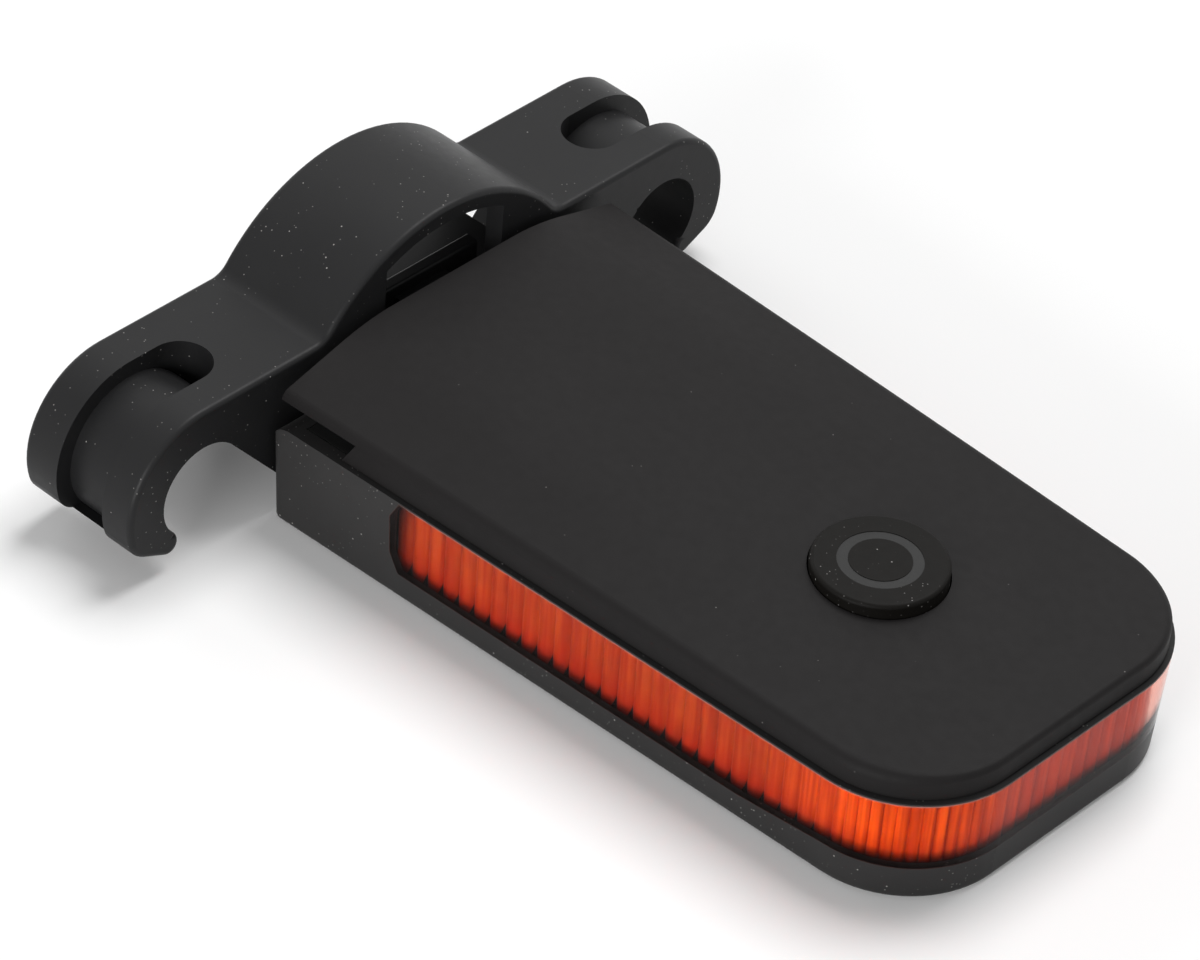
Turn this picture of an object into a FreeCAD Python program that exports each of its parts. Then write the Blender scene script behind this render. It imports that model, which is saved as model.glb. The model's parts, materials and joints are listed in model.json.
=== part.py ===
import FreeCAD, Part
import math
import os

os.makedirs("parts", exist_ok=True)
V = FreeCAD.Vector
UP = V(0, 0, 1)
ALONG = V(1, 0, 0)
ACROSS = V(0, 1, 0)

# Light body, seen from above: straight sides that draw in towards a rounded nose
body_length = 55.7
back_half_width = 16.25
nose_half_width = 14.65
nose_corner_radius = 8.3

# Light body, seen from the side; the cover's heights are rises above the seam
seam_height = 8.5
seam_gap = 0.15
plateau_back_rise = 4.6
plateau_nose_rise = 1.85
edge_back_rise = 2.35
edge_nose_rise = 1.8
plateau_half_width = 8.0
shoulder_blend = 2.4

# Lens shell
lens_wall = 1.1
lens_rear_wall = 2.1
lens_floor = 1.5
lens_draft = 0.5
lens_back_overhang = 0.5
lens_back_round = 1.7
lens_edge_round = 0.6

# Top cover
cover_inset = 0.34
cover_wall = 1.5
cover_side_round = 0.8
cover_nose_round = 0.45

# Slot at the back that takes the bracket's tongue, and the notch through the sides
slot_depth = 12.0
slot_half_width = 12.0
slot_height = 2.35
slot_floor = 1.0
slot_end_wall = 1.2
notch_length = 6.7
notch_slant = 1.2
notch_height = 1.95
detent_depth = 0.35
detent_length = 2.6

# Ribbed light band
band_back = 10.1
band_clearance = 0.06
band_wall = 0.8
rib_height = 0.34
side_rib_pitch = 1.4
corner_rib_pitch = 0.78
nose_rib_pitch = 1.32
rib_tip_height = 1.9
rib_tip_thickness = 0.08
band_seat_height = 3.0

# Stack inside the body
base_plate = 0.9
pad_thickness = 0.4
cell_headroom = 0.4
board_thickness = 0.8
chassis_gap = 0.1
chassis_thickness = 0.7
fit_gap = 0.1
seal_width = 0.4
seal_depth = 0.5

# Battery
cell_start = 12.6
cell_nose_room = 12.1
cell_slack = 0.4
cell_side_gap = 0.8
tray_wall = 0.8
pouch_round = 1.2
tab_board_length = 1.2
tab_board_inset = 1.5
tab_board_drop = 0.6

# Lamps
led_length = 3.0
led_depth = 1.1
led_height = 1.2
led_cup_depth = 0.35
led_cup_end = 0.4
led_cup_rim = 0.25
side_led_count = 5
nose_led_count = 3
ring_led_length = 1.6
ring_led_width = 0.6
ring_led_height = 0.6
ring_led_gap = 0.25

# Chips and small components, all under the board
chip_height = 0.85
chip_gap = 0.1
chip_leg_reach = 0.4
chip_leg_width = 0.3
chip_leg_thickness = 0.25
chip_row_setback = 7.6
chip_row_offset = 10.2
controller_length = 4.0
controller_width = 3.0
controller_legs = 5
charger_size = 3.0
charger_legs = 4
sensor_length = 2.6
sensor_width = 2.2
sensor_legs = 3
sensor_offset = 4.9
capacitor_length = 0.8
capacitor_width = 1.4
capacitor_height = 0.6
capacitor_spacing = 1.8
capacitor_row_spacing = 1.9
capacitor_offset = 3.9
capacitor_rows = 2
capacitor_row_count = 2
inductor_size = 2.4
inductor_height = 1.4
inductor_round = 0.35
inductor_setback = 3.4
inductor_offset = 6.5

# Charging socket
usb_width = 8.94
usb_height = 3.26
usb_depth = 7.35
usb_wall = 0.3
usb_recess = 0.2
usb_tongue_width = 6.69
usb_tongue_thickness = 0.7
usb_tongue_setback = 0.8
usb_back_wall = 0.5

# Battery lead and its connector
connector_length = 3.0
connector_width = 5.0
connector_height = 2.1
connector_key = 0.8
connector_lip = 1.2
lead_radius = 0.4
lead_spacing = 1.9
lead_length = 2.6

# Screws that carry the board
screw_radius = 0.8
screw_head_radius = 1.4
screw_head_height = 0.65
screw_tip_cover = 0.2
screw_boss_radius = 1.7
screw_boss_height = 0.7
screw_cross_reach = 0.9
screw_cross_width = 0.4
screw_cross_depth = 0.3
rear_screw_place = 9.3
rear_screw_offset = 9.6
front_screw_setback = 7.6
front_screw_offset = 8.5

# Button
button_setback = 17.2
button_radius = 4.6
button_rise = 0.85
button_wall = 0.85
button_edge_round = 0.3
button_gap = 0.1
button_travel = 0.4
button_flange_width = 0.9
button_flange_thickness = 0.45
button_flange_gap = 0.05
button_seat_depth = 2.75
button_seat_width = 2.2
ring_outer_radius = 2.85
ring_inner_radius = 2.1
ring_depth = 0.5
ring_sink = 0.04
plunger_disc_radius = 3.2
plunger_disc_thickness = 0.6
plunger_radius = 1.4
switch_size = 4.5
switch_height = 1.5
switch_corner_round = 0.4
switch_pin_radius = 1.1
switch_pin_height = 0.45
switch_pin_gap = 0.05

# Saddle rail bracket
rail_radius = 3.5
rail_spacing = 44.0
rail_drop = 2.9
hook_wall = 3.0
hook_mouth_angle = 48.0
hook_tip_angle = 49.0
hook_tip_radius = 0.85
hook_underside_angle = 25.0
hook_corner_round = 2.2
bracket_depth = 10.25
bracket_gap = 0.9
web_thickness = 1.5
web_reach = 4.0
guide_wall = 1.8
arch_radius = 13.45
arch_rise = 5.8
arch_wall = 1.3
arch_foot_round = 1.6
bracket_edge_round = 0.4
cavity_spare = 0.6
thumb_opening_width = 11.1
strap_slot_width = 4.4
strap_slot_setback = 2.7
strap_slot_inner = 17.4
strap_groove_depth = 1.25
strap_groove_end = 38.0
shelf_drop = 0.5
shelf_thickness = 1.6
shelf_half_width = 10.15
shelf_corner = 2.0

# Tongue and release latch
tongue_half_width = 11.5
tongue_gap = 0.15
tongue_end_gap = 0.25
tongue_corner = 2.5
latch_thickness = 1.1
latch_rise = 0.05
latch_half_width = 2.4
latch_side_gap = 0.35
latch_root = 8.6
latch_root_gap = 0.05
latch_tab_thickness = 1.1
latch_tab_gap = 1.1
latch_tab_rise = 0.4
latch_tab_round = 0.25
latch_tab_side_gap = 0.15
latch_bump_radius = 1.3
latch_bump_gap = 0.05

# How far a cutting solid runs past the face it cuts, and how close two places match
past = 1.0
near = 0.01

# Places along the object that follow from the sizes above
overall_length = bracket_depth + bracket_gap + body_length
back_x = bracket_depth + bracket_gap - overall_length / 2
nose_x = back_x + body_length
side_angle = math.atan2(back_half_width - nose_half_width, body_length)
bracket_front = back_x - bracket_gap
bracket_back = bracket_front - bracket_depth
lens_back = back_x - lens_back_overhang
inner_back = lens_back + lens_rear_wall + fit_gap
slot_end = back_x + slot_depth
button_x = back_x + body_length - button_setback
cell_length = body_length - cell_start - cell_nose_room
tongue_front = slot_end - tongue_end_gap
latch_x = back_x + latch_root
latch_bump_x = back_x + notch_length / 2

# Heights that follow from the sizes above
cover_bottom = seam_height + seam_gap
plateau_back = seam_height + plateau_back_rise
plateau_nose = seam_height + plateau_nose_rise
slot_ceiling = seam_height + slot_height
base_top = lens_floor + base_plate
chassis_bottom = seam_height - slot_floor
board_top = chassis_bottom - chassis_gap
board_bottom = board_top - board_thickness
cell_bottom = base_top + pad_thickness
cell_thickness = board_bottom - cell_headroom - cell_bottom
button_share = (button_x - back_x) / body_length
button_top = plateau_back + (plateau_nose - plateau_back) * button_share + button_rise
button_seat = button_top - button_seat_depth
rail_height = seam_height - rail_drop
web_bottom = rail_height - web_reach
wing_bottom = rail_height + rail_radius
wing_top = wing_bottom + hook_wall
arch_centre = wing_top + arch_rise - arch_radius
shelf_top = seam_height - shelf_drop
tongue_bottom = seam_height + tongue_gap
tongue_top = slot_ceiling - tongue_gap
latch_centre = (tongue_bottom + tongue_top) / 2 + latch_rise
latch_tab_top = slot_ceiling + latch_tab_rise


# Distances drawn in from the outline
rib_crown_inset = lens_wall + band_clearance
rib_valley_inset = rib_crown_inset + rib_height
band_inner = rib_valley_inset + band_wall
tray_inset = rib_valley_inset + fit_gap
board_inset = band_inner + fit_gap
lamp_inset = board_inset + fit_gap


def half_width(x):
    """Half the body's width at a place along its length."""
    share = (x - back_x) / body_length
    return back_half_width + (nose_half_width - back_half_width) * share


def inset_half_width(x, inset):
    """Half width of the outline drawn in by an inset."""
    return half_width(x) - inset / math.cos(side_angle)


def corner_points(inset):
    """Start, middle, end and centre of the nose corner on the +Y side, and its radius."""
    radius = nose_corner_radius - inset
    end_x = nose_x - inset
    corner = V(end_x, inset_half_width(end_x, inset), 0)
    side = V(math.cos(side_angle), -math.sin(side_angle), 0)
    reach = radius * math.tan((math.pi / 2 - side_angle) / 2)
    start = corner - side * reach
    end = corner - ACROSS * reach
    centre = start - V(math.sin(side_angle), math.cos(side_angle), 0) * radius
    middle = centre + (corner - centre).normalize() * radius
    return start, middle, end, centre, radius


def mirrored(point):
    return V(point.x, -point.y, point.z)


def raised(point, z):
    return V(point.x, point.y, z)


def outline(inset, start_x, z):
    """Closed outline of the body, drawn in by an inset, from start_x to the nose."""
    start, middle, end, centre, radius = corner_points(inset)
    width = inset_half_width(start_x, inset)
    left = [raised(mirrored(p), z) for p in (start, middle, end)]
    right = [raised(p, z) for p in (start, middle, end)]
    back_left = V(start_x, -width, z)
    back_right = V(start_x, width, z)
    edges = [
        Part.LineSegment(back_left, left[0]).toShape(),
        Part.Arc(left[0], left[1], left[2]).toShape(),
        Part.LineSegment(left[2], right[2]).toShape(),
        Part.Arc(right[2], right[1], right[0]).toShape(),
        Part.LineSegment(right[0], back_right).toShape(),
        Part.LineSegment(back_right, back_left).toShape(),
    ]
    return Part.Wire(edges)


def slab(inset, start_x, bottom, top):
    """Upright solid of the body's outline."""
    face = Part.Face(outline(inset, start_x, bottom))
    return face.extrude(UP * (top - bottom))


def drafted_slab(bottom_inset, top_inset, start_x, bottom, top):
    """Solid of the body's outline with flat sides that lean from one inset to another."""
    low = outline(bottom_inset, start_x, bottom)
    high = outline(top_inset, start_x, top)
    faces = [Part.Face(low), Part.Face(high)]
    for lower, upper in zip(low.Edges, high.Edges):
        if lower.Curve.TypeId == "Part::GeomLine":
            points = [lower.firstVertex().Point, lower.lastVertex().Point,
                      upper.lastVertex().Point, upper.firstVertex().Point]
            faces.append(Part.Face(Part.makePolygon(points + points[:1])))
        else:
            faces += Part.makeLoft([Part.Wire(lower), Part.Wire(upper)], False, True).Faces
    shell = Part.makeShell(faces)
    shell.sewShape()
    outward = Part.makeSolid(shell).Faces
    return Part.makeSolid(Part.makeShell(outward))


def box(x0, x1, y0, y1, z0, z1):
    return Part.makeBox(x1 - x0, y1 - y0, z1 - z0, V(x0, y0, z0))


def centred_box(x, y, length, width, z0, z1):
    return box(x - length / 2, x + length / 2, y - width / 2, y + width / 2, z0, z1)


def upright(radius, x, y, bottom, top):
    return Part.makeCylinder(radius, top - bottom, V(x, y, bottom), UP)


def corner_length(inset):
    """Length of the outline's nose corner arc."""
    return corner_points(inset)[4] * (math.pi / 2 - side_angle)


def edge_path(inset, travel):
    """Point and outward direction on the outline, by distance from the nose's middle."""
    start, middle, end, centre, radius = corner_points(inset)
    side = 1 if travel >= 0 else -1
    distance = abs(travel)
    corner = corner_length(inset)
    if distance <= end.y:
        point = V(nose_x - inset, distance, 0)
        out = V(1, 0, 0)
    elif distance <= end.y + corner:
        angle = (distance - end.y) / radius
        out = V(math.cos(angle), math.sin(angle), 0)
        point = centre + out * radius
    else:
        back = V(-math.cos(side_angle), math.sin(side_angle), 0)
        point = start + back * (distance - end.y - corner)
        out = V(math.sin(side_angle), math.cos(side_angle), 0)
    return V(point.x, point.y * side, 0), V(out.x, out.y * side, 0)


def path_length(inset, stop_x):
    """Distance along the outline from the nose's middle back to stop_x."""
    start, middle, end, centre, radius = corner_points(inset)
    return end.y + corner_length(inset) + (start.x - stop_x) / math.cos(side_angle)


def roof_section(x, plateau, edge, width, base):
    """Cross section under the cover's top: a flat plateau with soft falling shoulders."""
    reach = back_half_width + 3 * past
    fall = (edge - plateau) / (width - plateau_half_width)
    outer = plateau + fall * (reach - plateau_half_width)
    bend_out = plateau_half_width + shoulder_blend
    bend_in = plateau_half_width - shoulder_blend
    bend_z = plateau + fall * shoulder_blend

    def bend(side):
        curve = Part.BezierCurve()
        poles = [V(x, side * bend_in, plateau), V(x, side * plateau_half_width, plateau)]
        poles.append(V(x, side * bend_out, bend_z))
        if side < 0:
            poles.reverse()
        curve.setPoles(poles)
        return curve.toShape()

    edges = [
        Part.LineSegment(V(x, -reach, base), V(x, -reach, outer)).toShape(),
        Part.LineSegment(V(x, -reach, outer), V(x, -bend_out, bend_z)).toShape(),
        bend(-1),
        Part.LineSegment(V(x, -bend_in, plateau), V(x, bend_in, plateau)).toShape(),
        bend(1),
        Part.LineSegment(V(x, bend_out, bend_z), V(x, reach, outer)).toShape(),
        Part.LineSegment(V(x, reach, outer), V(x, reach, base)).toShape(),
        Part.LineSegment(V(x, reach, base), V(x, -reach, base)).toShape(),
    ]
    return Part.Wire(edges)


def roof(drop):
    """Solid under the cover's top surface, lowered by a drop."""
    low = seam_height - drop
    sections = [
        roof_section(back_x, low + plateau_back_rise, low + edge_back_rise,
                     back_half_width, lens_floor),
        roof_section(nose_x, low + plateau_nose_rise, low + edge_nose_rise,
                     nose_half_width, lens_floor),
    ]
    return Part.makeLoft(sections, True, True)


def cover_edge_radius(x):
    """The cover's top edge is soft along the sides and crisp round the nose."""
    start = corner_points(cover_inset)[0].x
    if x <= start + near:
        return cover_side_round
    return cover_nose_round


def rounded_cover(block):
    """Round the cover's top edge, blending from the soft sides to the crisp nose."""
    document = FreeCAD.newDocument("cover")
    source = document.addObject("Part::Feature", "block")
    source.Shape = block
    fillet = document.addObject("Part::Fillet", "rounded")
    fillet.Base = source
    chosen = []
    for number, edge in enumerate(block.Edges, 1):
        ends = [vertex.Point for vertex in edge.Vertexes]
        if min(point.z for point in ends) < cover_bottom + near:
            continue
        if max(point.x for point in ends) < back_x + near:
            continue
        middle = edge.valueAt((edge.FirstParameter + edge.LastParameter) / 2)
        near_side = abs(middle.y) > half_width(middle.x) - cover_inset - 5 * near
        if not near_side and middle.x < nose_x - nose_corner_radius:
            continue
        first = cover_edge_radius(edge.valueAt(edge.FirstParameter).x)
        last = cover_edge_radius(edge.valueAt(edge.LastParameter).x)
        chosen.append((number, first, last))
    fillet.Edges = chosen
    document.recompute()
    result = fillet.Shape.copy()
    FreeCAD.closeDocument(document.Name)
    return result


def side_notch():
    """Notch through the cover's sides at the back, with a slanted front end."""
    reach = back_half_width + past
    front = back_x + notch_length
    ceiling = seam_height + notch_height
    points = [V(back_x - past, -reach, seam_height), V(back_x - past, -reach, ceiling),
              V(front, -reach, ceiling), V(front - notch_slant, -reach, seam_height)]
    face = Part.Face(Part.makePolygon(points + points[:1]))
    return face.extrude(ACROSS * 2 * reach)


def top_cover():
    top = plateau_back + past
    block = slab(cover_inset, back_x, cover_bottom, top).common(roof(0))
    body = rounded_cover(block)
    hollow = slab(cover_inset + cover_wall, slot_end + slot_end_wall, cover_bottom, top)
    hollow = hollow.common(roof(cover_wall))
    hollow = hollow.cut(upright(button_radius + button_seat_width, button_x, 0,
                                button_seat, top))
    slot = box(back_x - past, slot_end, -slot_half_width, slot_half_width, seam_height,
               slot_ceiling)
    dimple = centred_box(latch_bump_x, 0, detent_length,
                         2 * (latch_half_width + latch_side_gap), seam_height,
                         slot_ceiling + detent_depth)
    bore = upright(button_radius + button_gap, button_x, 0, seam_height, top)
    return body.cut([hollow, slot, side_notch(), dimple, bore])


def lens_side_view():
    """Upright solid across the whole width whose side view rounds the shell's back."""
    reach = back_half_width + past
    centre = V(lens_back + lens_back_round, -reach, seam_height - lens_back_round)
    low = centre - ALONG * lens_back_round
    high = centre + UP * lens_back_round
    middle = centre + (UP - ALONG).normalize() * lens_back_round
    corners = [high, V(nose_x + past, -reach, seam_height), V(nose_x + past, -reach, 0),
               V(lens_back, -reach, 0), low]
    edges = [Part.LineSegment(a, b).toShape() for a, b in zip(corners, corners[1:])]
    edges.append(Part.Arc(low, middle, high).toShape())
    return Part.Face(Part.Wire(edges)).extrude(ACROSS * 2 * reach)


def lens_shell():
    outer = drafted_slab(lens_draft, 0, lens_back, 0, seam_height)
    soft = [e for e in outer.Edges if e.BoundBox.ZMax < near
            or e.BoundBox.XMax < lens_back + near and e.BoundBox.ZLength > seam_height / 2]
    outer = outer.makeFillet(lens_edge_round, soft).common(lens_side_view())
    inner = slab(lens_wall, lens_back + lens_rear_wall, lens_floor, seam_height)
    ledge = slab(lens_wall - seal_width - fit_gap, slot_end + fit_gap,
                 seam_height - seal_depth, seam_height + past)
    opening = usb_outline(lens_back - past, lens_rear_wall + 2 * past, fit_gap)
    return outer.cut([inner, ledge, opening])


def cover_seal():
    start = slot_end + 2 * fit_gap
    outer = slab(lens_wall - seal_width, start, seam_height - seal_depth, cover_bottom)
    inner = slab(lens_wall, start - past, seam_height - seal_depth - past,
                 cover_bottom + past)
    return outer.cut(inner)


def rib_stations():
    """Distances along the band's outline to every rib's edges and crowns, in turn."""
    nose = corner_points(rib_valley_inset)[2].y
    corner = nose + corner_length(rib_valley_inset)
    total = path_length(rib_valley_inset, back_x + band_back)
    zones = [(0, nose, nose_rib_pitch), (nose, corner, corner_rib_pitch),
             (corner, total, side_rib_pitch)]
    half = []
    for low, high, pitch in zones:
        steps = 2 * round((high - low) / pitch)
        half += [low + (high - low) * step / steps for step in range(steps)]
    half.append(total)
    return [-travel for travel in reversed(half[1:])] + half


def ribbed_diffuser():
    """U-shaped band of upright half-round ribs that end below in tapering tongues."""
    places = [edge_path(rib_valley_inset, travel) for travel in rib_stations()]
    edges = []
    for number in range(0, len(places) - 1, 2):
        crown, out = places[number + 1]
        edges.append(Part.Arc(places[number][0], crown + out * rib_height,
                              places[number + 2][0]).toShape())
    edges.append(Part.LineSegment(places[-1][0], places[0][0]).toShape())
    top = seam_height - band_clearance
    band = Part.Face(Part.Wire(edges)).extrude(UP * (top - rib_tip_height))
    band.translate(UP * rib_tip_height)
    start = back_x + band_back - past
    inner = slab(band_inner, start, rib_tip_height - past, top + past)
    undercut = drafted_slab(rib_crown_inset + rib_tip_thickness, rib_valley_inset, start,
                            rib_tip_height, band_seat_height)
    return band.cut([inner, undercut])


def battery_tray():
    """Base plate with a rim that carries the light band, and a bay for the battery."""
    plate = slab(tray_inset, inner_back, lens_floor, base_top)
    band_start = back_x + band_back
    rim = slab(tray_inset, band_start, base_top, band_seat_height)
    rim = rim.cut(slab(band_inner, band_start - past, base_top, band_seat_height))
    bay = bay_box(tray_wall, base_top, board_bottom)
    bay = bay.cut(bay_box(0, base_top, board_bottom))
    lead_gate = box(bay_end(), bay_end() + tray_wall, -connector_width / 2,
                    connector_width / 2, cell_bottom, board_bottom)
    return plate.fuse([rim, bay.cut(lead_gate)]).removeSplitter()


def bay_end():
    return back_x + cell_start + cell_length + tab_board_length + cell_slack


def cell_half_width():
    """Half width of the cell, as wide as the lamps and the bay's walls leave room for."""
    room = inset_half_width(bay_end(), lamp_inset + led_depth + cell_side_gap)
    return room - tray_wall - cell_slack


def bay_box(wall, bottom, top):
    half = cell_half_width() + cell_slack + wall
    return box(back_x + cell_start - cell_slack - wall, bay_end() + wall, -half, half,
               bottom, top)


def battery_pad():
    half = cell_half_width()
    start = back_x + cell_start
    return box(start, start + cell_length, -half, half, base_top, cell_bottom)


def battery_cell():
    """Soft pouch cell with rounded long edges and a folded end with its tab board."""
    half = cell_half_width()
    start = back_x + cell_start
    end = start + cell_length
    top = cell_bottom + cell_thickness
    pouch = box(start, end, -half, half, cell_bottom, top)
    long_edges = [e for e in pouch.Edges if e.BoundBox.XLength > cell_length - near]
    pouch = pouch.makeFillet(pouch_round, long_edges)
    tab = box(end, end + tab_board_length, tab_board_inset - half, half - tab_board_inset,
              cell_bottom + tab_board_drop, top - tab_board_drop)
    return pouch.fuse(tab)


def lead_start():
    return back_x + cell_start + cell_length + tab_board_length


def battery_leads():
    leads = []
    for side in (-1, 1):
        place = V(lead_start(), side * lead_spacing / 2, board_bottom - connector_height / 2)
        leads.append(Part.makeCylinder(lead_radius, lead_length, place, ALONG))
    return Part.makeCompound(leads)


def battery_connector():
    """Connector block under the board, with a keyway along its front."""
    start = lead_start() + lead_length
    end = start + connector_length
    half = connector_width / 2
    low = board_bottom - connector_height
    body = box(start, end, -half, half, low, board_bottom)
    key = box(end - connector_key, end + past, connector_key - half, half - connector_key,
              low - past, board_bottom - connector_lip)
    return body.cut(key)


def screw_places():
    """Centres of the board's screws, the rear pair first."""
    rows = [(back_x + rear_screw_place, rear_screw_offset),
            (nose_x - front_screw_setback, front_screw_offset)]
    return [(x, side * y) for x, y in rows for side in (-1, 1)]


def main_board():
    board = slab(board_inset, inner_back, board_bottom, board_top)
    holes = [upright(screw_radius + fit_gap, x, y, board_bottom - past, board_top + past)
             for x, y in screw_places()]
    return board.cut(holes)


def chassis_plate():
    """Black plate over the board: floor of the tongue slot and carrier of the board."""
    step = back_x + band_back - fit_gap
    chassis_top = chassis_bottom + chassis_thickness
    reach = back_half_width + past
    plate = slab(board_inset, inner_back, chassis_bottom, chassis_top)
    rear = slab(lens_wall + fit_gap, inner_back, chassis_bottom, seam_height)
    rear = rear.common(box(inner_back, step, -reach, reach, chassis_bottom, seam_height))
    floor = slab(board_inset, step, chassis_bottom, seam_height)
    floor = floor.common(box(step, slot_end + slot_end_wall, -reach, reach, chassis_bottom,
                             seam_height))
    bosses = [upright(screw_boss_radius, x, y, chassis_bottom, chassis_top + screw_boss_height)
              for x, y in screw_places()[2:]]
    plate = plate.fuse([rear, floor] + bosses)
    holes = [upright(screw_radius, x, y, chassis_bottom - past, screw_top())
             for x, y in screw_places()]
    holes.append(upright(plunger_disc_radius + 2 * fit_gap, button_x, 0,
                         chassis_bottom - past, seam_height + past))
    return plate.cut(holes).removeSplitter()


def screw_top():
    return seam_height - screw_tip_cover


def board_screws():
    """Screws from below through the board into the chassis, with cross recesses."""
    screws = []
    low = board_bottom - screw_head_height
    for x, y in screw_places():
        shank = upright(screw_radius, x, y, board_bottom, screw_top())
        head = upright(screw_head_radius, x, y, low, board_bottom)
        cross = centred_box(x, y, 2 * screw_cross_reach, screw_cross_width, low,
                            low + screw_cross_depth)
        cross = cross.fuse(centred_box(x, y, screw_cross_width, 2 * screw_cross_reach, low,
                                       low + screw_cross_depth))
        screws.append(shank.fuse(head).cut(cross))
    return Part.makeCompound(screws)


def led_package(travel):
    """Side-firing lamp under the board's edge, with its light cup facing out."""
    point, out = edge_path(lamp_inset, travel)
    half = led_length / 2
    body = box(-led_depth, 0, -half, half, board_bottom - led_height, board_bottom)
    cup = box(-led_cup_depth, past, led_cup_end - half, half - led_cup_end,
              board_bottom - led_height + led_cup_rim, board_bottom - led_cup_rim)
    body = body.cut(cup)
    body.rotate(V(0, 0, 0), UP, math.degrees(math.atan2(out.y, out.x)))
    body.translate(point)
    return body


def side_leds():
    """Lamps spread evenly along both sides, from the band's back end to the nose corner."""
    last = path_length(lamp_inset, back_x + band_back + led_length)
    first = path_length(lamp_inset, corner_points(lamp_inset)[0].x - led_length)
    lamps = []
    for number in range(side_led_count):
        travel = first + (last - first) * number / (side_led_count - 1)
        lamps += [led_package(travel), led_package(-travel)]
    return Part.makeCompound(lamps)


def nose_leds():
    """Lamps spread evenly over the straight front edge of the nose."""
    reach = corner_points(lamp_inset)[2].y - led_length / 2
    lamps = [led_package(reach * (2 * number / (nose_led_count - 1) - 1))
             for number in range(nose_led_count)]
    return Part.makeCompound(lamps)


def chip(x, y, length, width, legs):
    """Flat packaged chip under the board with short legs along two sides."""
    body = centred_box(x, y, length, width, board_bottom - chip_height,
                       board_bottom - chip_gap)
    pieces = []
    for number in range(legs):
        place = x - length / 2 + length * (number + 0.5) / legs
        pieces.append(centred_box(place, y, chip_leg_width, width + 2 * chip_leg_reach,
                                  board_bottom - chip_leg_thickness, board_bottom))
    return body.fuse(pieces)


def controller_chip():
    x = back_x + cell_start - chip_row_setback
    return chip(x, -chip_row_offset, controller_length, controller_width, controller_legs)


def charger_chip():
    x = back_x + cell_start - chip_row_setback
    return chip(x, chip_row_offset, charger_size, charger_size, charger_legs)


def motion_sensor():
    x = lead_start() + lead_length + connector_length / 2
    return chip(x, sensor_offset, sensor_length, sensor_width, sensor_legs)


def board_capacitors():
    """Small chip capacitors beside the lead connector."""
    pieces = []
    start = lead_start() + lead_length + capacitor_length / 2
    for number in range(capacitor_row_count * capacitor_rows):
        x = start + (number % capacitor_row_count) * capacitor_spacing
        y = -capacitor_offset - (number // capacitor_row_count) * capacitor_row_spacing
        pieces.append(centred_box(x, y, capacitor_length, capacitor_width,
                                  board_bottom - capacitor_height, board_bottom))
    return Part.makeCompound(pieces)


def power_inductor():
    x = back_x + cell_start - inductor_setback
    body = centred_box(x, inductor_offset, inductor_size, inductor_size,
                       board_bottom - inductor_height, board_bottom)
    corners = [e for e in body.Edges if e.BoundBox.ZLength > inductor_height - near]
    return body.makeFillet(inductor_round, corners)


def usb_outline(start, length, grow):
    """Flat-sided oval bar along X, as wide and high as the charging socket."""
    radius = usb_height / 2 + grow
    reach = usb_width / 2 + grow - radius
    z = board_bottom - usb_height / 2
    middle = box(start, start + length, -reach, reach, z - radius, z + radius)
    ends = [Part.makeCylinder(radius, length, V(start, side * reach, z), ALONG)
            for side in (-1, 1)]
    return middle.fuse(ends).removeSplitter()


def usb_socket():
    start = lens_back + usb_recess
    body = usb_outline(start, usb_depth, 0)
    body = body.cut(usb_outline(start - past, usb_depth + past - usb_back_wall, -usb_wall))
    z = board_bottom - usb_height / 2
    tongue = box(start + usb_tongue_setback, start + usb_depth - usb_back_wall / 2,
                 -usb_tongue_width / 2, usb_tongue_width / 2, z - usb_tongue_thickness / 2,
                 z + usb_tongue_thickness / 2)
    return body.fuse(tongue)


def switch_body():
    top = board_top + switch_height
    body = centred_box(button_x, 0, switch_size, switch_size, board_top, top)
    corners = [e for e in body.Edges if e.BoundBox.ZLength > switch_height - near]
    body = body.makeFillet(switch_corner_round, corners)
    bore = upright(switch_pin_radius + switch_pin_gap, button_x, 0,
                   top - button_travel - 2 * fit_gap - switch_pin_height, top + past)
    return body.cut(bore)


def switch_pin_top():
    return board_top + switch_height + switch_pin_height


def switch_plunger():
    bottom = board_top + switch_height - switch_pin_height
    return upright(switch_pin_radius, button_x, 0, bottom, switch_pin_top())


def ring_leds():
    """Two lamps beside the switch that light the ring in the button."""
    lamps = []
    for side in (-1, 1):
        y = side * (switch_size / 2 + ring_led_gap + ring_led_width / 2)
        lamps.append(centred_box(button_x, y, ring_led_length, ring_led_width, board_top,
                                 board_top + ring_led_height))
    return Part.makeCompound(lamps)


def button_inner_top():
    return button_top - button_wall


def button_cap():
    """Rubber cap: a round pad with a groove for the light ring and a retaining flange."""
    flange_top = button_seat - button_flange_gap
    flange_bottom = flange_top - button_flange_thickness
    pad = upright(button_radius, button_x, 0, flange_bottom, button_top)
    rim = [e for e in pad.Edges if e.BoundBox.ZMin > button_top - near]
    pad = pad.makeFillet(button_edge_round, rim)
    flange = upright(button_radius + button_flange_width, button_x, 0, flange_bottom, flange_top)
    hollow = upright(button_radius - button_wall, button_x, 0, flange_bottom - past,
                     button_inner_top())
    return pad.fuse(flange).cut([hollow, ring_solid(button_top + past)])


def ring_solid(top):
    """Ring from the groove's floor in the button up to a height."""
    bottom = button_top - ring_depth
    ring = upright(ring_outer_radius, button_x, 0, bottom, top)
    return ring.cut(upright(ring_inner_radius, button_x, 0, bottom - past, top + past))


def button_ring():
    return ring_solid(button_top - ring_sink)


def button_plunger():
    top = button_inner_top()
    disc = upright(plunger_disc_radius, button_x, 0, top - plunger_disc_thickness, top)
    post = upright(plunger_radius, button_x, 0, switch_pin_top(), top)
    return disc.fuse(post)


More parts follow.
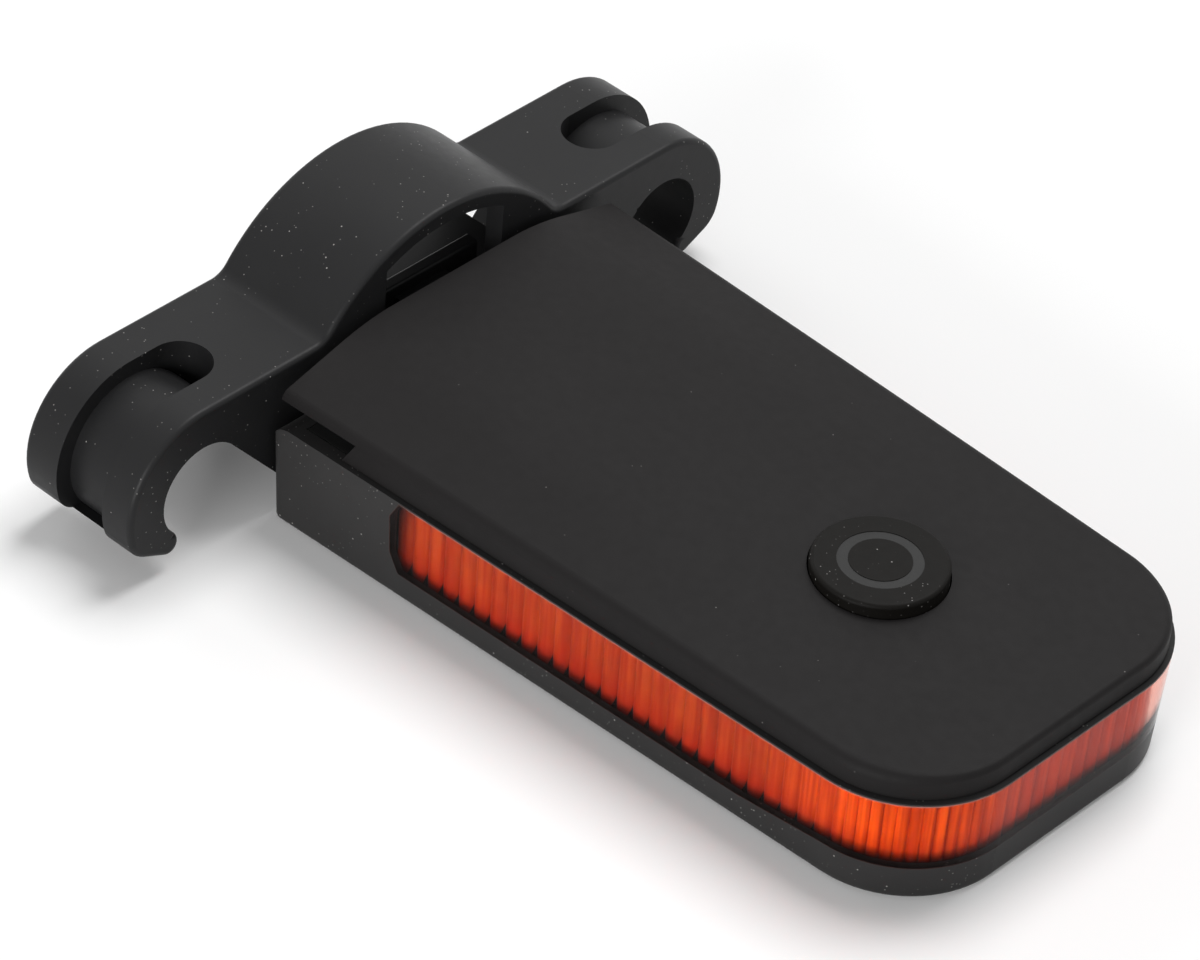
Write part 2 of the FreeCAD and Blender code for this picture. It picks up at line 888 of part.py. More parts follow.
def polar(centre, side, radius, degrees):
    """Point on a circle across the bracket; 0 degrees points away from the middle."""
    angle = math.radians(degrees)
    return centre + V(0, side * radius * math.cos(angle), radius * math.sin(angle))


def rail_centre(side):
    return V(bracket_back, side * rail_spacing / 2, rail_height)


def guide_angle():
    """Angle on the cavity's circle where the sloping guide wall touches it."""
    return 90 + hook_mouth_angle


def underside_corner(side):
    """Where the hook's sloping underside meets its round outside."""
    centre = rail_centre(side)
    outer = rail_radius + hook_wall
    tip = polar(centre, side, rail_radius + hook_tip_radius, -hook_tip_angle)
    foot = polar(tip, side, hook_tip_radius, hook_underside_angle - 90)
    away = V(0, side * math.cos(math.radians(hook_underside_angle)),
             math.sin(math.radians(hook_underside_angle)))
    offset = foot - centre
    shift = offset.dot(away)
    run = math.sqrt(shift ** 2 + outer ** 2 - offset.dot(offset)) - shift
    return foot, foot + away * run


def hook(side):
    """C-shaped hook round one rail, open downwards and inwards, with soft edges.

    Its cavity is left small here, so that cutting the rail's bore leaves crisp edges."""
    centre = rail_centre(side)
    outer = rail_radius + hook_wall
    inner = rail_radius - bracket_edge_round - cavity_spare
    guide = guide_angle()
    foot, corner = underside_corner(side)
    tip = polar(centre, side, rail_radius + hook_tip_radius, -hook_tip_angle)
    touch = polar(centre, side, rail_radius, -hook_tip_angle)
    tip_middle = polar(tip, side, hook_tip_radius,
                       (hook_underside_angle - hook_tip_angle + 90) / 2 - 180)
    cavity_end = polar(centre, side, inner, -hook_tip_angle)
    root_in = polar(centre, side, inner, guide)
    root_out = polar(centre, side, outer, guide)
    edges = [
        Part.Arc(root_out, polar(centre, side, outer, guide / 2), corner).toShape(),
        Part.LineSegment(corner, foot).toShape(),
        Part.Arc(foot, tip_middle, touch).toShape(),
        Part.LineSegment(touch, cavity_end).toShape(),
        Part.Arc(cavity_end, polar(centre, side, inner, 0), root_in).toShape(),
        Part.LineSegment(root_in, root_out).toShape(),
    ]
    solid = Part.Face(Part.Wire(edges)).extrude(ALONG * bracket_depth)
    return softened(round_along(solid, [corner], hook_corner_round), -rail_radius)


def round_along(solid, corners, radius):
    """Round the long edges that run along X through the given corners."""
    chosen = []
    for edge in solid.Edges:
        if edge.BoundBox.XLength < bracket_depth - near:
            continue
        middle = edge.BoundBox.Center
        for corner in corners:
            if math.hypot(middle.y - corner.y, middle.z - corner.z) < 5 * near:
                chosen.append(edge)
    return solid.makeFillet(radius, chosen)


def bar_x(radius, centre_y, centre_z, start, length):
    return Part.makeCylinder(radius, length, V(start, centre_y, centre_z), ALONG)


def bracket_bridge():
    """Wings and arch over the middle, along the bracket's whole depth."""
    reach = rail_spacing / 2
    wings = box(bracket_back, bracket_front, -reach, reach, wing_bottom, wing_top)
    arch = bar_x(arch_radius, 0, arch_centre, bracket_back, bracket_depth)
    arch = arch.common(box(bracket_back, bracket_front, -reach, reach, wing_bottom,
                           wing_top + arch_rise + past))
    body = wings.fuse(arch).removeSplitter()
    foot_y = math.sqrt(arch_radius ** 2 - (wing_top - arch_centre) ** 2)
    feet = [V(0, side * foot_y, wing_top) for side in (-1, 1)]
    body = softened(round_along(body, feet, arch_foot_round), wing_top - near)
    tunnel = bar_x(arch_radius - arch_wall, 0, arch_centre, bracket_back - past,
                   bracket_depth + 2 * past)
    return body.cut(tunnel)


def guide_slope(side):
    """Top and bottom of the slope that leads a rail into its hook."""
    high = polar(rail_centre(side), side, rail_radius, guide_angle())
    run = (high.z - web_bottom) / math.tan(math.radians(hook_mouth_angle))
    return high, V(high.x, high.y - side * run, web_bottom)


def guide(side):
    """Sloping wall beside the hook's mouth, along the bracket's whole depth."""
    high, low = guide_slope(side)
    inward = V(0, -side * guide_wall / math.sin(math.radians(hook_mouth_angle)), 0)
    top = V(high.x, high.y, wing_bottom)
    points = [top, high, low, low + inward, high + inward, top + inward]
    face = Part.Face(Part.makePolygon(points + points[:1]))
    return face.extrude(ALONG * bracket_depth)


def bracket_web():
    """Front web that ties the wings, hooks and tongue, with a thumb opening."""
    start = bracket_front - web_thickness
    points = []
    for side in (1, -1):
        high, low = guide_slope(side)
        side_points = [V(start, high.y, wing_bottom), raised_web(high), raised_web(low)]
        if side < 0:
            side_points.reverse()
        points += side_points
    plate = Part.Face(Part.makePolygon(points + points[:1])).extrude(ALONG * web_thickness)
    crown = bar_x(arch_radius - arch_wall, 0, arch_centre, start, web_thickness)
    crown = crown.common(box(start, bracket_front, -rail_spacing / 2, rail_spacing / 2,
                             wing_bottom, wing_top + arch_rise))
    opening = box(start - past, bracket_front + past, -thumb_opening_width / 2,
                  thumb_opening_width / 2, shelf_top, wing_top + arch_rise + past)
    return plate.fuse(crown).cut(opening)


def raised_web(point):
    """A point of the bracket's back face, brought forward to the web."""
    return V(bracket_front - web_thickness, point.y, point.z)


def strap_slot(side):
    """Slot through the wing for the rubber strap, open to the groove round the hook."""
    radius = strap_slot_width / 2
    middle_x = bracket_front - strap_slot_setback - radius
    start = middle_x - radius
    end = rail_spacing / 2
    inner = strap_slot_inner + radius
    rounded = upright(radius, middle_x, side * inner, rail_height, wing_top + past)
    straight = centred_box(middle_x, side * (inner + end) / 2, strap_slot_width, end - inner,
                           rail_height, wing_top + past)
    floor = rail_radius + hook_wall - strap_groove_depth
    groove = bar_x(rail_radius + 2 * hook_wall, side * end, rail_height, start,
                   strap_slot_width)
    keep = bar_x(floor, side * end, rail_height, start, strap_slot_width)
    low = rail_height - floor * math.sin(math.radians(strap_groove_end))
    outside = centred_box(middle_x, side * (end + rail_spacing / 4), strap_slot_width,
                          rail_spacing / 2, low, wing_top + rail_spacing / 4)
    return rounded.fuse(straight).cut(keep).fuse(groove.cut(keep).common(outside))


def grip_shelf():
    """Ledge behind the web, under the release tab."""
    end = bracket_front - web_thickness / 2
    shelf = box(bracket_back, end, -shelf_half_width, shelf_half_width,
                shelf_top - shelf_thickness, shelf_top)
    corners = [e for e in shelf.Edges if e.BoundBox.ZLength > shelf_thickness - near
               and e.BoundBox.XMax < bracket_back + near]
    return shelf.makeFillet(shelf_corner, corners)


def tongue():
    """Flat tongue that slides into the light's slot, split for the latch finger."""
    plate = box(bracket_front - web_thickness / 2, tongue_front, -tongue_half_width,
                tongue_half_width, tongue_bottom, tongue_top)
    corners = [e for e in plate.Edges if e.BoundBox.ZLength > slot_height / 2
               and e.BoundBox.XMin > tongue_front - near]
    plate = plate.makeFillet(tongue_corner, corners)
    half = latch_half_width + latch_side_gap
    web_back = bracket_front - web_thickness
    low = tongue_bottom - past
    high = tongue_top + past
    gate = box(web_back, latch_x, -half, half, low, high)
    opening = box(web_back, bracket_front, -thumb_opening_width / 2,
                  thumb_opening_width / 2, low, high)
    seat = Part.makeCylinder(latch_thickness / 2 + latch_root_gap, 2 * half,
                             V(latch_x, -half, latch_centre), ACROSS)
    return plate.cut([gate, opening, seat])


def rail_bracket():
    body = bracket_bridge()
    body = body.fuse([hook(-1), hook(1), guide(-1), guide(1), bracket_web(), grip_shelf()])
    for side in (-1, 1):
        body = body.cut(bar_x(rail_radius, side * rail_spacing / 2, rail_height,
                              bracket_back - past, bracket_depth + 2 * past))
    body = body.removeSplitter().cut([strap_slot(-1), strap_slot(1)])
    return body.fuse(tongue()).removeSplitter()


def softened(body, above):
    """Round the edges of the front and back faces that lie above a height."""
    chosen = []
    for edge in body.Edges:
        bounds = edge.BoundBox
        if bounds.XLength < near and bounds.ZMin > above:
            chosen.append(edge)
    return body.makeFillet(bracket_edge_round, chosen)


def release_latch():
    """Spring finger in the tongue with a bump for the slot and a thumb tab behind."""
    bottom = latch_centre - latch_thickness / 2
    top = latch_centre + latch_thickness / 2
    tab_front = bracket_front - web_thickness - latch_tab_gap + latch_tab_thickness / 2
    tab_back = tab_front - latch_tab_thickness
    finger = box(tab_back, latch_x, -latch_half_width, latch_half_width, bottom, top)
    root = Part.makeCylinder(latch_thickness / 2, 2 * latch_half_width,
                             V(latch_x, -latch_half_width, latch_centre), ACROSS)
    tab_half = thumb_opening_width / 2 - latch_tab_side_gap
    tab = box(tab_back, tab_front, -tab_half, tab_half, bottom, latch_tab_top)
    rim = [e for e in tab.Edges if e.BoundBox.ZMin > latch_tab_top - near
           and e.BoundBox.YLength > tab_half]
    tab = tab.makeFillet(latch_tab_round, rim)
    bump_axis = slot_ceiling - latch_bump_gap - latch_bump_radius
    bump = Part.makeCylinder(latch_bump_radius, 2 * latch_half_width,
                             V(latch_bump_x, -latch_half_width, bump_axis), ACROSS)
    bump = bump.common(centred_box(latch_bump_x, 0, detent_length, 2 * latch_half_width,
                                   latch_centre, slot_ceiling))
    return finger.fuse([root, tab, bump]).removeSplitter()


SUB_PARTS = [
    top_cover, lens_shell, cover_seal, ribbed_diffuser, battery_tray, battery_pad,
    battery_cell, battery_leads, battery_connector, main_board, chassis_plate,
    board_screws, side_leds, nose_leds, controller_chip, charger_chip, motion_sensor,
    board_capacitors, power_inductor, usb_socket, switch_body, switch_plunger, ring_leds,
    button_cap, button_ring, button_plunger, rail_bracket, release_latch,
]

for make in SUB_PARTS:
    shape = make()
    shape.exportStep(os.path.join("parts", make.__name__ + ".step"))
    print(make.__name__, len(shape.Solids), "solids", round(shape.Volume, 1), "mm3",
          "valid" if shape.isValid() else "NOT VALID")
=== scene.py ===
import json
import math
import bpy
from mathutils import Matrix, Vector


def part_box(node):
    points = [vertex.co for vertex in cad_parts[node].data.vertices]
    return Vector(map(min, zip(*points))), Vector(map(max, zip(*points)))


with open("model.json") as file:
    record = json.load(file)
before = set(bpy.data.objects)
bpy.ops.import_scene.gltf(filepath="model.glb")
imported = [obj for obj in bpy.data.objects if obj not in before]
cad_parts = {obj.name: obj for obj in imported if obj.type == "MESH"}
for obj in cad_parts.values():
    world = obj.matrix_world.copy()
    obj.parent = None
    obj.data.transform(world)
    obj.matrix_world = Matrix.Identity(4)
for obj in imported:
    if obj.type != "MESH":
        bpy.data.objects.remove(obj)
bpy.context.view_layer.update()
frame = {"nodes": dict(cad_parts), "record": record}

MM = 0.001

# Places read from the frame
shell_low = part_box("lens_shell")[0]
cover_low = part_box("top_cover")[0]
band_low, band_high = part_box("ribbed_diffuser")


# Node tree helpers

class Tree:
    """A material's node tree, with short calls for the nodes that the finishes share."""

    def __init__(self, name):
        self.material = bpy.data.materials.new(name)
        self.material.use_nodes = True
        self.nodes = self.material.node_tree.nodes
        self.links = self.material.node_tree.links
        self.shader = self.nodes["Principled BSDF"]
        self.place = self.nodes.new("ShaderNodeTexCoord").outputs["Object"]

    def link(self, source, target):
        self.links.new(source, target)

    def value(self, socket, number):
        self.shader.inputs[socket].default_value = number

    def drive(self, socket, source):
        """Let a pattern or colour set one of the shader's inputs."""
        self.link(source, self.shader.inputs[socket])

    def noise(self, size, detail=3.0):
        """Cloudy pattern whose features are about one size across, in metres."""
        node = self.nodes.new("ShaderNodeTexNoise")
        node.inputs["Scale"].default_value = 1.0 / size
        node.inputs["Detail"].default_value = detail
        node.inputs["Roughness"].default_value = 0.55
        self.link(self.place, node.inputs["Vector"])
        return node.outputs["Fac"]

    def streaks(self, size, stretch):
        """Upright streaks about one size wide and as many sizes tall as the stretch says."""
        scale = self.nodes.new("ShaderNodeVectorMath")
        scale.operation = "MULTIPLY"
        scale.inputs[1].default_value = (1.0, 1.0, 1.0 / stretch)
        self.link(self.place, scale.inputs[0])
        node = self.nodes.new("ShaderNodeTexNoise")
        node.inputs["Scale"].default_value = 1.0 / size
        node.inputs["Detail"].default_value = 1.0
        self.link(scale.outputs["Vector"], node.inputs["Vector"])
        return node.outputs["Fac"]

    def cells(self, size):
        """Scattered points about one size apart.

        Returns the distance to the nearest in sizes, and that point's random colour.
        """
        node = self.nodes.new("ShaderNodeTexVoronoi")
        node.inputs["Scale"].default_value = 1.0 / size
        self.link(self.place, node.inputs["Vector"])
        return node.outputs["Distance"], node.outputs["Color"]

    def spread(self, source, low, high, to_low=0.0, to_high=1.0):
        """Maps a range of a pattern to another range, cut off at both ends."""
        node = self.nodes.new("ShaderNodeMapRange")
        node.clamp = True
        self.link(source, node.inputs["Value"])
        for socket, number in (("From Min", low), ("From Max", high),
                               ("To Min", to_low), ("To Max", to_high)):
            node.inputs[socket].default_value = number
        return node.outputs["Result"]

    def math(self, operation, *sources):
        node = self.nodes.new("ShaderNodeMath")
        node.operation = operation
        for socket, source in zip(node.inputs, sources):
            if isinstance(source, (int, float)):
                socket.default_value = source
            else:
                self.link(source, socket)
        return node.outputs["Value"]

    def both(self, first, second):
        """Where two masks overlap."""
        return self.math("MULTIPLY", first, second)

    def mix(self, share, first, second):
        """Colour that goes from first to second as the share rises."""
        node = self.nodes.new("ShaderNodeMix")
        node.data_type = "RGBA"
        if isinstance(share, float):
            node.inputs["Factor"].default_value = share
        else:
            self.link(share, node.inputs["Factor"])
        for socket, source in ((node.inputs[6], first), (node.inputs[7], second)):
            if isinstance(source, tuple):
                socket.default_value = (*source, 1.0)
            else:
                self.link(source, socket)
        return node.outputs[2]

    def bump(self, height, depth, under=None):
        """Surface relief of a depth in metres, on top of another relief."""
        node = self.nodes.new("ShaderNodeBump")
        node.inputs["Strength"].default_value = 1.0
        node.inputs["Distance"].default_value = depth
        self.link(height, node.inputs["Height"])
        if under is not None:
            self.link(under, node.inputs["Normal"])
        return node.outputs["Normal"]

    def axis(self, name):
        node = self.nodes.new("ShaderNodeSeparateXYZ")
        self.link(self.place, node.inputs["Vector"])
        return node.outputs[name]


def dust(tree, amount):
    """Mask of specks of two sizes, the small ones gathered in patches.

    A larger amount puts specks on more of the scattered points. Their radii are in spacings.
    """
    fine_spacing = 0.42 * MM
    wide_spacing = 2.6 * fine_spacing
    patch_size = 7 * MM
    least = 1.0 - amount
    masks = []
    for spacing, core, rim in ((fine_spacing, 0.06, 0.14), (wide_spacing, 0.035, 0.06)):
        near, lot = tree.cells(spacing)
        chosen = tree.spread(lot, least, least + 0.02)
        masks.append(tree.both(tree.spread(near, core, rim, 1.0, 0.0), chosen))
    small, large = masks
    patch = tree.spread(tree.noise(patch_size, 2.0), 0.44, 0.64)
    return tree.math("MAXIMUM", tree.both(small, patch), large)


# Finishes

def moulded(name, colour, roughness, grain=0.12 * MM, relief=0.004 * MM, specks=0.0, specular=0.5):
    """Moulded plastic or rubber: fine grain, faint cloudy wear and specks of dust on some."""
    wear_size = 5 * MM
    gloss_size = 0.8 * MM
    speck_height = 0.01 * MM
    speck_colour = (0.30, 0.29, 0.28)
    tree = Tree(name)
    darker = tuple(channel * 0.94 for channel in colour)
    lighter = tuple(channel * 1.07 for channel in colour)
    base = tree.mix(tree.spread(tree.noise(wear_size, 4.0), 0.3, 0.7), darker, lighter)
    surface = tree.bump(tree.noise(grain, 2.0), relief)
    if specks > 0:
        mask = dust(tree, specks)
        base = tree.mix(mask, base, speck_colour)
        surface = tree.bump(mask, speck_height, surface)
    gloss = tree.noise(gloss_size)
    tree.drive("Base Color", base)
    tree.drive("Roughness", tree.spread(gloss, 0.3, 0.7, roughness - 0.02, roughness + 0.03))
    tree.drive("Normal", surface)
    tree.value("Specular IOR Level", specular)
    return tree


def smoke_shell():
    """Smoked shell: a clear, red-tinted window in front of the light band, with painted shade towards
    the window's back and bottom edges, opaque elsewhere.
    """
    smoke_roughness = 0.34
    window_roughness = 0.06
    # Painted shade: the dark tint that the window takes at its back and bottom edges.
    edge_shade_tint = (0.08, 0.02, 0.016)
    full_tint = (0.90, 0.42, 0.34)
    back_edge = band_low.x + 0.1 * MM
    low_edge = band_low.z + 0.25 * MM
    top_edge = band_high.z - 0.2 * MM
    edge_width = 0.1 * MM
    top_edge_width = 0.15 * MM
    corner = 0.8 * MM
    low_corner_height = 1.6 * MM
    top_corner_height = 1.4 * MM
    nose_rise = 0.6 * MM
    rise_start, rise_end = band_high.x - 14 * MM, band_high.x - 7 * MM
    pale_back_start, pale_back_end = back_edge - 0.4 * MM, back_edge + 1.6 * MM
    pale_low_start, pale_low_end = low_edge - 0.1 * MM, low_edge + 1.0 * MM
    pale_power = 1.6
    window_index = 1.15
    tree = moulded("smoke_lens", (0.030, 0.0293, 0.0293), smoke_roughness,
                   grain=0.5 * MM, relief=0.002 * MM, specks=0.85)
    x, height = tree.axis("X"), tree.axis("Z")
    z = tree.math("SUBTRACT", height, tree.spread(x, rise_start, rise_end, 0.0, nose_rise))
    low_corner = tree.spread(z, low_edge, low_edge + low_corner_height, corner, 0.0)
    top_corner = tree.spread(z, top_edge - top_corner_height, top_edge, 0.0, corner)
    x = tree.math("SUBTRACT", x, tree.math("ADD", low_corner, top_corner))
    window = tree.both(tree.spread(x, back_edge, back_edge + edge_width),
                       tree.spread(z, low_edge, low_edge + edge_width))
    window = tree.both(window, tree.spread(height, top_edge, top_edge + top_edge_width, 1.0, 0.0))
    # Painted shade: the window's tint darkens from full to dim towards its back and bottom edges.
    edge_shade_fade = tree.both(tree.spread(x, pale_back_start, pale_back_end),
                     tree.spread(z, pale_low_start, pale_low_end))
    tint = tree.mix(tree.math("POWER", edge_shade_fade, pale_power), edge_shade_tint, full_tint)
    smoke = tree.shader.inputs["Base Color"].links[0].from_socket
    tree.drive("Base Color", tree.mix(window, smoke, tint))
    tree.drive("Roughness", tree.spread(window, 0.0, 1.0, smoke_roughness, window_roughness))
    tree.drive("Transmission Weight", window)
    tree.value("IOR", window_index)
    return tree.material


def light_band():
    """Cloudy red-orange band with upright streaks of painted rib highlight and groove shade, and dark
    feet.

    It is brightest at the near corner of the nose, where the brighter colour is painted light, as if
    lit through the band from behind; it is deeper red from the nose face on.
    """
    side_dark, side_light = (0.47, 0.205, 0.034), (0.58, 0.290, 0.050)
    # Painted light: the brighter colour at the near corner of the nose.
    painted_corner_light = (1.0, 0.440, 0.024)
    nose_colour = (0.60, 0.140, 0.014)
    # Painted shade: the dark colour of the streaks between the ribs.
    rib_shade_colour = (0.32, 0.030, 0.005)
    foot_colour = (0.44, 0.050, 0.014)
    turn_start, turn_end = band_high.x - 13 * MM, band_high.x - 6 * MM
    nose_start, nose_end = -9 * MM, -4 * MM
    foot_start, foot_end = band_low.z + 0.2 * MM, band_low.z + 3.2 * MM
    cloud_size, streak_size, grain = 2.2 * MM, 0.42 * MM, 0.35 * MM
    streak_stretch, rib_shade_share = 30, 0.6
    tree = Tree("red_band")
    base = tree.mix(tree.spread(tree.noise(cloud_size), 0.25, 0.75), side_dark, side_light)
    # Towards the nose the band takes the brighter corner colour: painted light at the near corner.
    turn = tree.spread(tree.axis("X"), turn_start, turn_end)
    base = tree.mix(turn, base, painted_corner_light)
    nose = tree.spread(tree.axis("Y"), nose_start, nose_end)
    base = tree.mix(tree.both(turn, nose), base, nose_colour)
    # Painted rib highlights and groove shade: upright streaks, darkened towards the streak colour
    # where the pattern is low.
    streaks = tree.spread(tree.streaks(streak_size, streak_stretch), 0.36, 0.64)
    base = tree.mix(streaks, tree.mix(rib_shade_share, base, rib_shade_colour), base)
    above_foot = tree.spread(tree.axis("Z"), foot_start, foot_end)
    tree.drive("Base Color", tree.mix(above_foot, foot_colour, base))
    tree.drive("Normal", tree.bump(tree.noise(grain), 0.006 * MM))
    tree.value("Roughness", 0.28)
    tree.value("Specular IOR Level", 0.15)
    tree.value("Subsurface Weight", 0.35)
    tree.value("Subsurface Radius", (1.0, 0.25, 0.06))
    tree.value("Subsurface Scale", 1.2 * MM)
    return tree.material


def metal(name, colour, roughness, grain):
    """Metal with a fine grain and small changes in gloss."""
    cloud_size = 1.5 * MM
    darker = tuple(channel * 0.9 for channel in colour)
    tree = Tree(name)
    tree.value("Metallic", 1.0)
    cloud = tree.spread(tree.noise(cloud_size), 0.3, 0.7)
    tree.drive("Base Color", tree.mix(cloud, darker, colour))
    gloss = tree.noise(grain)
    tree.drive("Roughness", tree.spread(gloss, 0.3, 0.7, roughness - 0.06, roughness + 0.08))
    tree.drive("Normal", tree.bump(tree.noise(grain, 2.0), 0.004 * MM))
    return tree.material


def crinkled_foil():
    """Bright foil, crumpled into patches, with painted shade that darkens them towards their edges
    along the creases.
    """
    middle_colour, crease_shade_colour = (0.62, 0.62, 0.63), (0.48, 0.48, 0.5)
    patch_size = 2.4 * MM
    crease_height = 0.03 * MM
    tree = Tree("cell_foil")
    tree.value("Metallic", 1.0)
    tree.value("Roughness", 0.34)
    from_middle = tree.cells(patch_size)[0]
    # Painted shade: the colour goes darker towards each patch's edge, along the creases.
    tree.drive("Base Color", tree.mix(tree.spread(from_middle, 0.0, 0.8), middle_colour, crease_shade_colour))
    tree.drive("Normal", tree.bump(from_middle, crease_height))
    return tree.material


def board_lacquer():
    """Green lacquer over copper tracks that run along and across the board."""
    bare_colour, track_colour = (0.008, 0.055, 0.022), (0.022, 0.13, 0.05)
    track_spacing = {"X": 2.6 * MM, "Y": 1.9 * MM}
    patch_size = 5 * MM
    track_height = 0.02 * MM
    tree = Tree("board_lacquer")
    waves = [tree.math("SINE", tree.math("MULTIPLY", tree.axis(name), 2 * math.pi / spacing))
             for name, spacing in track_spacing.items()]
    patch = tree.spread(tree.noise(patch_size, 1.0), 0.48, 0.52)
    tracks = tree.both(tree.spread(tree.math("MAXIMUM", *waves), 0.8, 0.86), patch)
    tree.drive("Base Color", tree.mix(tracks, bare_colour, track_colour))
    tree.value("Roughness", 0.28)
    tree.drive("Normal", tree.bump(tracks, track_height))
    return tree.material


MOULDED = {
    "cover_black": dict(colour=(0.0082, 0.0074, 0.0075), roughness=0.60, specks=0.12, specular=0.12),
    "bracket_black": dict(colour=(0.0115, 0.0115, 0.0120), roughness=0.43, specks=0.42, specular=0.16),
    "black_rubber": dict(colour=(0.0038, 0.0033, 0.0027), roughness=0.55, specks=0.90, specular=0.09),
    "ring_grey": dict(colour=(0.010, 0.010, 0.0098), roughness=0.36, specular=0.22),
    "inner_black": dict(colour=(0.012, 0.012, 0.012), roughness=0.45),
    "foam_pad": dict(colour=(0.02, 0.02, 0.02), roughness=0.9, grain=0.35 * MM, relief=0.08 * MM),
    "lead_red": dict(colour=(0.42, 0.018, 0.014), roughness=0.38),
    "connector_white": dict(colour=(0.66, 0.64, 0.58), roughness=0.42),
    "led_package": dict(colour=(0.75, 0.70, 0.42), roughness=0.3),
    "chip_black": dict(colour=(0.022, 0.022, 0.024), roughness=0.55, grain=0.06 * MM),
    "capacitor_tan": dict(colour=(0.28, 0.2, 0.12), roughness=0.35),
    "inductor_grey": dict(colour=(0.07, 0.07, 0.075), roughness=0.6),
}
METALS = {
    "screw_steel": dict(colour=(0.58, 0.57, 0.55), roughness=0.3, grain=0.2 * MM),
    "socket_steel": dict(colour=(0.62, 0.61, 0.6), roughness=0.26, grain=0.3 * MM),
}


def make_finishes():
    finishes = {name: moulded(name, **look).material for name, look in MOULDED.items()}
    finishes.update({name: metal(name, **look) for name, look in METALS.items()})
    finishes["smoke_lens"] = smoke_shell()
    finishes["red_band"] = light_band()
    finishes["cell_foil"] = crinkled_foil()
    finishes["board_lacquer"] = board_lacquer()
    return finishes


def dress_nodes(finishes):
    """Give every CAD node the finish that its material slot names."""
    finish_names = {part["node"]: part["material_slot"] for part in frame["record"]["subparts"]}
    for name, node in frame["nodes"].items():
        for slot in node.material_slots:
            slot.material = finishes[finish_names[name]]


# Camera at the photograph's place
photo_width = 1200
focal_pixels = 6000
sensor_width = 36.0
camera_azimuth = math.radians(40.41)
camera_elevation = math.radians(39.27)
camera_roll = math.radians(5.10)
camera_distance = 390.9 * MM
aim_from_back = 32.6 * MM
aim_height = 4.89 * MM
aim_right = -13.18 * MM
aim_up = 7.80 * MM


def make_camera():
    back = Vector((math.sin(camera_azimuth) * math.cos(camera_elevation),
                   -math.cos(camera_azimuth) * math.cos(camera_elevation),
                   math.sin(camera_elevation)))
    level = (-back).cross(Vector((0, 0, 1))).normalized()
    upward = level.cross(-back)
    right = level * math.cos(camera_roll) + upward * math.sin(camera_roll)
    up = upward * math.cos(camera_roll) - level * math.sin(camera_roll)
    target = Vector((cover_low.x + aim_from_back, 0, aim_height))
    place = target + back * camera_distance + right * aim_right + up * aim_up
    data = bpy.data.cameras.new("camera")
    data.sensor_width = sensor_width
    data.lens = focal_pixels / photo_width * sensor_width
    data.clip_start = 0.01
    data.clip_end = 10
    camera = bpy.data.objects.new("camera", data)
    bpy.context.scene.collection.objects.link(camera)
    camera.matrix_world = Matrix((
        (right.x, up.x, back.x, place.x),
        (right.y, up.y, back.y, place.y),
        (right.z, up.z, back.z, place.z),
        (0, 0, 0, 1)))
    bpy.context.scene.camera = camera


# Studio, in metres and watts
floor_reach = 1.5
floor_colour = (0.93, 0.93, 0.93, 1)
near_radius, far_radius = 0.12, 0.60
near_lift, far_lift = 0.05, 0.80
world_fill = 0.22
world_seen = 1.0
lamp_aim = (0.005, 0, 0.008)
LAMPS = {
    "key": dict(place=(-0.04, 0.25, 0.58), size=(0.38, 0.38), power=3.1),
    "near_low": dict(place=(0.12, -0.58, 0.15), size=(0.30, 0.24), power=2.7),
    "behind": dict(place=(-0.52, 0.04, 0.30), size=(0.36, 0.36), power=0.5),
}


def seen_rays(nodes, links):
    """One for rays that show the background: to the camera, in gloss or through glass."""
    rays = nodes.new("ShaderNodeLightPath")
    total = rays.outputs["Is Camera Ray"]
    for name in ("Is Glossy Ray", "Is Transmission Ray"):
        joined = nodes.new("ShaderNodeMath")
        joined.operation = "MAXIMUM"
        links.new(total, joined.inputs[0])
        links.new(rays.outputs[name], joined.inputs[1])
        total = joined.outputs["Value"]
    return total


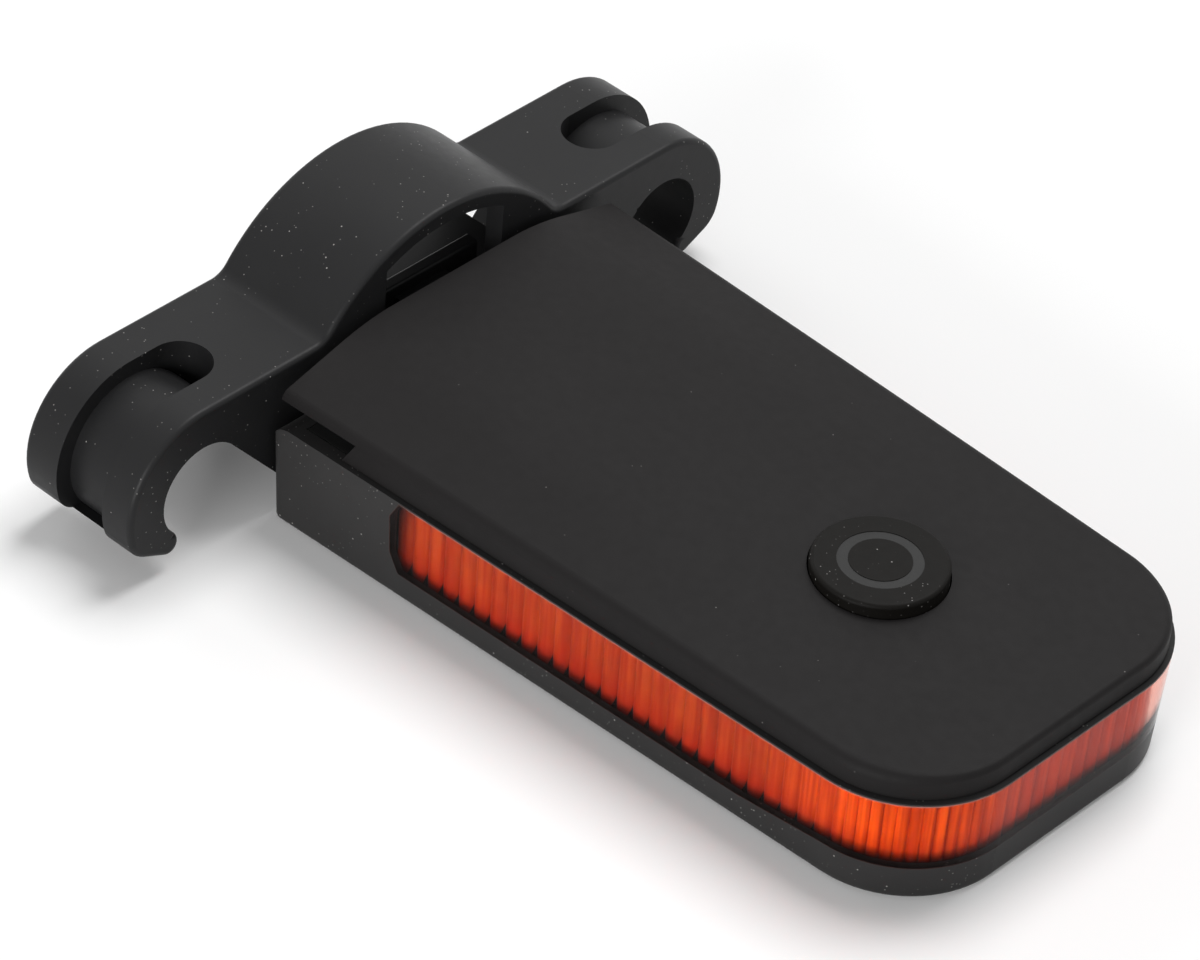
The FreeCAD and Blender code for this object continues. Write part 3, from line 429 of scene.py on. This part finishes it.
def floor_white():
    """White floor that shows the shadow near the part and goes to plain white far from it."""
    material = bpy.data.materials.new("floor_white")
    material.use_nodes = True
    nodes = material.node_tree.nodes
    links = material.node_tree.links
    shader = nodes["Principled BSDF"]
    shader.inputs["Base Color"].default_value = floor_colour
    shader.inputs["Roughness"].default_value = 0.9
    shader.inputs["Specular IOR Level"].default_value = 0.1
    shader.inputs["Emission Color"].default_value = (1, 1, 1, 1)
    place = nodes.new("ShaderNodeTexCoord")
    away = nodes.new("ShaderNodeVectorMath")
    away.operation = "LENGTH"
    links.new(place.outputs["Object"], away.inputs[0])
    white = nodes.new("ShaderNodeMapRange")
    for socket, number in (("From Min", near_radius), ("From Max", far_radius),
                           ("To Min", near_lift), ("To Max", far_lift)):
        white.inputs[socket].default_value = number
    links.new(away.outputs["Value"], white.inputs["Value"])
    lift = nodes.new("ShaderNodeMath")
    lift.operation = "MULTIPLY"
    links.new(seen_rays(nodes, links), lift.inputs[0])
    links.new(white.outputs["Result"], lift.inputs[1])
    links.new(lift.outputs["Value"], shader.inputs["Emission Strength"])
    return material


def make_floor():
    mesh = bpy.data.meshes.new("floor")
    corners = [(-floor_reach, -floor_reach, 0), (floor_reach, -floor_reach, 0),
               (floor_reach, floor_reach, 0), (-floor_reach, floor_reach, 0)]
    mesh.from_pydata(corners, [], [(0, 1, 2, 3)])
    floor = bpy.data.objects.new("floor", mesh)
    bpy.context.scene.collection.objects.link(floor)
    floor.location.z = shell_low.z
    mesh.materials.append(floor_white())


def make_world():
    """White to rays that show the background, a weak fill to all others."""
    world = bpy.data.worlds.new("studio")
    bpy.context.scene.world = world
    world.use_nodes = True
    nodes = world.node_tree.nodes
    links = world.node_tree.links
    background = nodes["Background"]
    background.inputs["Color"].default_value = (1, 1, 1, 1)
    strength = nodes.new("ShaderNodeMapRange")
    strength.inputs["To Min"].default_value = world_fill
    strength.inputs["To Max"].default_value = world_seen
    links.new(seen_rays(nodes, links), strength.inputs["Value"])
    links.new(strength.outputs["Result"], background.inputs["Strength"])


def make_lamp(name, place, size, power):
    data = bpy.data.lights.new(name, "AREA")
    data.shape = "RECTANGLE"
    data.size, data.size_y = size
    data.energy = power
    lamp = bpy.data.objects.new(name, data)
    bpy.context.scene.collection.objects.link(lamp)
    lamp.location = place
    lamp.rotation_euler = (Vector(lamp_aim) - Vector(place)).to_track_quat("-Z", "Y").to_euler()


dress_nodes(make_finishes())
make_camera()
make_floor()
make_world()
for lamp_name, lamp_settings in LAMPS.items():
    make_lamp(lamp_name, **lamp_settings)
bpy.context.scene.view_settings.view_transform = "Standard"
